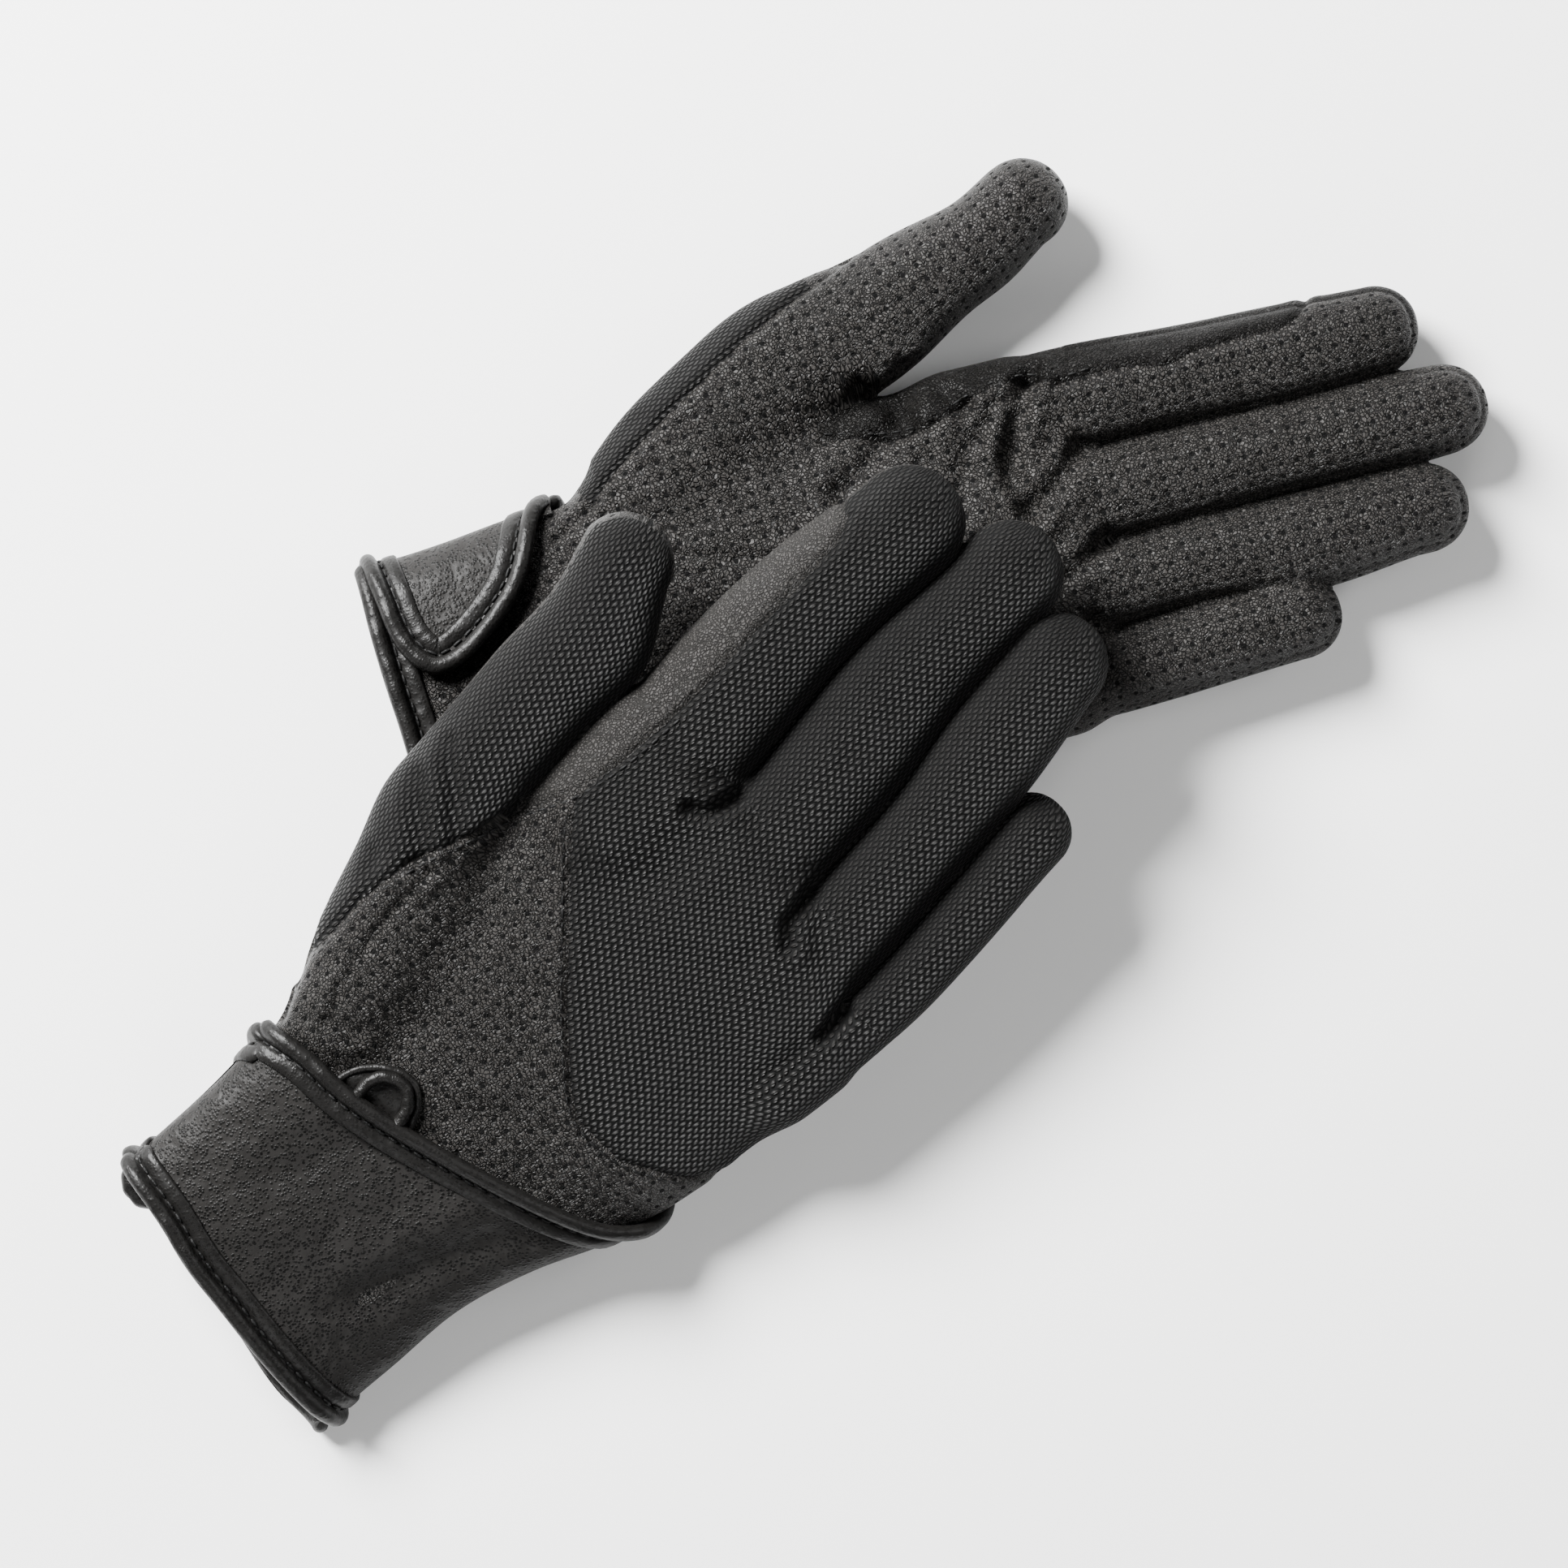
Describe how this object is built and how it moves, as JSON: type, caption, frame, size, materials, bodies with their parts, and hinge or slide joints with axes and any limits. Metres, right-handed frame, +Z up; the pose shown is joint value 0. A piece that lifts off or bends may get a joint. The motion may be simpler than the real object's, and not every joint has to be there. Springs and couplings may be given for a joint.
{
  "type": "riding gloves",
  "caption": "Pair of soft leather riding gloves with mesh backs, perforated palms and bound cuffs that close at the wrist, lying one across the other.",
  "frame": {"origin": "centre of the pair on the surface they lie on", "axes": "+Z up; +X towards the fingertips of the lower glove, roughly; +Y towards its thumb side"},
  "size_m": [0.2916, 0.2728, 0.056],
  "materials": {
    "mesh": "matte woven mesh",
    "perforated_leather": "grained, perforated",
    "plain_leather": "soft matte grain",
    "cuff_leather": "smooth fine pores, satin",
    "binding": "smooth rolled, slightly glossy",
    "loop_pile": "brushed loops",
    "hook_tape": "hooked nylon tape"
  },
  "bodies": {
    "left_glove": {"left_yoke": "perforated_leather", "left_back_panel": "mesh", "left_palm_panel": "perforated_leather", "left_side_strip": "plain_leather", "left_thumb_gusset": "perforated_leather", "left_cuff_band": "cuff_leather", "left_cuff_binding": "binding", "left_hem_binding": "binding", "left_half_moon_patch": "cuff_leather", "left_patch_loop": "binding", "left_hem_loop": "binding", "left_loop_pad": "loop_pile"},
    "left_flap": {"left_closure_flap": "cuff_leather", "left_flap_binding": "binding", "left_hook_pad": "hook_tape"},
    "left_index": {"left_index_back": "mesh", "left_index_fourchette": "perforated_leather", "left_index_palm": "perforated_leather", "left_index_side_strip": "plain_leather"},
    "left_middle": {"left_middle_back": "mesh", "left_middle_fourchettes": "perforated_leather", "left_middle_palm": "perforated_leather"},
    "left_ring": {"left_ring_back": "mesh", "left_ring_fourchettes": "perforated_leather", "left_ring_palm": "perforated_leather"},
    "left_little": {"left_little_back": "mesh", "left_little_fourchettes": "perforated_leather", "left_little_palm": "perforated_leather"},
    "left_thumb": {"left_thumb_back": "mesh", "left_thumb_palm": "perforated_leather"},
    "right_glove": {"right_yoke": "perforated_leather", "right_back_panel": "mesh", "right_palm_panel": "perforated_leather", "right_side_strip": "plain_leather", "right_thumb_gusset": "perforated_leather", "right_cuff_band": "cuff_leather", "right_cuff_binding": "binding", "right_hem_binding": "binding", "right_half_moon_patch": "cuff_leather", "right_patch_loop": "binding", "right_hem_loop": "binding", "right_loop_pad": "loop_pile"},
    "right_flap": {"right_closure_flap": "cuff_leather", "right_flap_binding": "binding", "right_hook_pad": "hook_tape"},
    "right_index": {"right_index_back": "mesh", "right_index_fourchette": "perforated_leather", "right_index_palm": "perforated_leather", "right_index_side_strip": "plain_leather"},
    "right_middle": {"right_middle_back": "mesh", "right_middle_fourchettes": "perforated_leather", "right_middle_palm": "perforated_leather"},
    "right_ring": {"right_ring_back": "mesh", "right_ring_fourchettes": "perforated_leather", "right_ring_palm": "perforated_leather"},
    "right_little": {"right_little_back": "mesh", "right_little_fourchettes": "perforated_leather", "right_little_palm": "perforated_leather"},
    "right_thumb": {"right_thumb_back": "mesh", "right_thumb_palm": "perforated_leather"}
  },
  "joints": [
    {"name": "left_index_bend", "type": "hinge", "parent": "left_glove", "child": "left_index", "pos_m": [0.05541, 0.08494, 0.01061], "axis": [0.2164, -0.9763, 0.0006], "range_deg": [0, 50]},
    {"name": "left_middle_bend", "type": "hinge", "parent": "left_glove", "child": "left_middle", "pos_m": [0.06226, 0.06401, 0.0106], "axis": [0.2504, -0.9681, 0.0002], "range_deg": [0, 50]},
    {"name": "left_ring_bend", "type": "hinge", "parent": "left_glove", "child": "left_ring", "pos_m": [0.06455, 0.04451, 0.01064], "axis": [0.2368, -0.9715, 0.0004], "range_deg": [0, 50]},
    {"name": "left_little_bend", "type": "hinge", "parent": "left_glove", "child": "left_little", "pos_m": [0.06484, 0.02477, 0.0107], "axis": [0.2571, -0.9664, 0.0001], "range_deg": [0, 50]},
    {"name": "left_thumb_bend", "type": "hinge", "parent": "left_glove", "child": "left_thumb", "pos_m": [0.00786, 0.09925, 0.01112], "axis": [0.6004, -0.7997, -0.0044], "range_deg": [0, 50]},
    {"name": "left_flap_open", "type": "hinge", "parent": "left_glove", "child": "left_flap", "pos_m": [-0.08098, 0.05666, 0.01228], "axis": [-0.9636, -0.2672, 0.012], "range_deg": [0, 110]},
    {"name": "right_index_bend", "type": "hinge", "parent": "right_glove", "child": "right_index", "pos_m": [-0.02548, 0.01349, 0.03885], "axis": [0.6794, -0.707, -0.1966], "range_deg": [0, 25]},
    {"name": "right_middle_bend", "type": "hinge", "parent": "right_glove", "child": "right_middle", "pos_m": [-0.00553, -0.00678, 0.0332], "axis": [0.7324, -0.655, -0.1859], "range_deg": [0, 25]},
    {"name": "right_ring_bend", "type": "hinge", "parent": "right_glove", "child": "right_ring", "pos_m": [0.00851, -0.02658, 0.02787], "axis": [0.7602, -0.6243, -0.1795], "range_deg": [0, 25]},
    {"name": "right_little_bend", "type": "hinge", "parent": "right_glove", "child": "right_little", "pos_m": [0.01352, -0.04766, 0.02257], "axis": [0.7395, -0.6474, -0.1844], "range_deg": [0, 25]},
    {"name": "right_thumb_bend", "type": "hinge", "parent": "right_glove", "child": "right_thumb", "pos_m": [-0.0727, 0.00421, 0.03834], "axis": [0.7824, -0.598, -0.1739], "range_deg": [0, 25]},
    {"name": "right_flap_open", "type": "hinge", "parent": "right_glove", "child": "right_flap", "pos_m": [-0.13731, -0.06874, 0.02302], "axis": [0.7365, 0.6631, 0.1338], "range_deg": [0, 14]},
    {"name": "right_glove_lift", "type": "slide", "parent": "left_glove", "child": "right_glove", "axis": [0, 0, 1], "range_m": [0, 0.08]}
  ]
}
